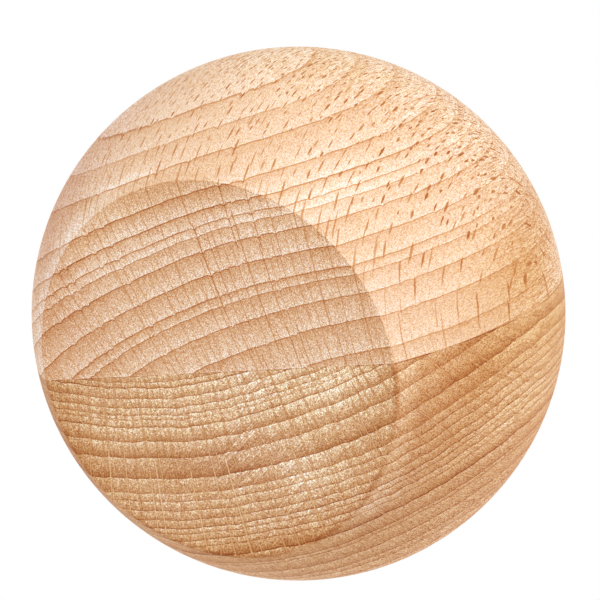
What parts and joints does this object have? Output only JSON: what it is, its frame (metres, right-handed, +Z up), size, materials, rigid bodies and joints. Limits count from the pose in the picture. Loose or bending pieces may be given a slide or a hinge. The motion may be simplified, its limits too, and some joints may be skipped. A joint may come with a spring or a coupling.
{
  "type": "wooden ball",
  "caption": "Turned beech ball glued up from two half-ball boards, with a round flat sawn across the end grain for it to rest on.",
  "frame": {"origin": "centre of the flat that the ball rests on", "axes": "+Z up the turning axis, which is also the way the grain runs; the glue joint is the plane x = 0, with the paler half on -X and the golden half on +X"},
  "size_m": [0.1, 0.1, 0.0857],
  "materials": {
    "pale_beech": "satin",
    "golden_beech": "satin"
  },
  "bodies": {
    "root": {"pale_half": "pale_beech", "golden_half": "golden_beech"}
  },
  "joints": []
}
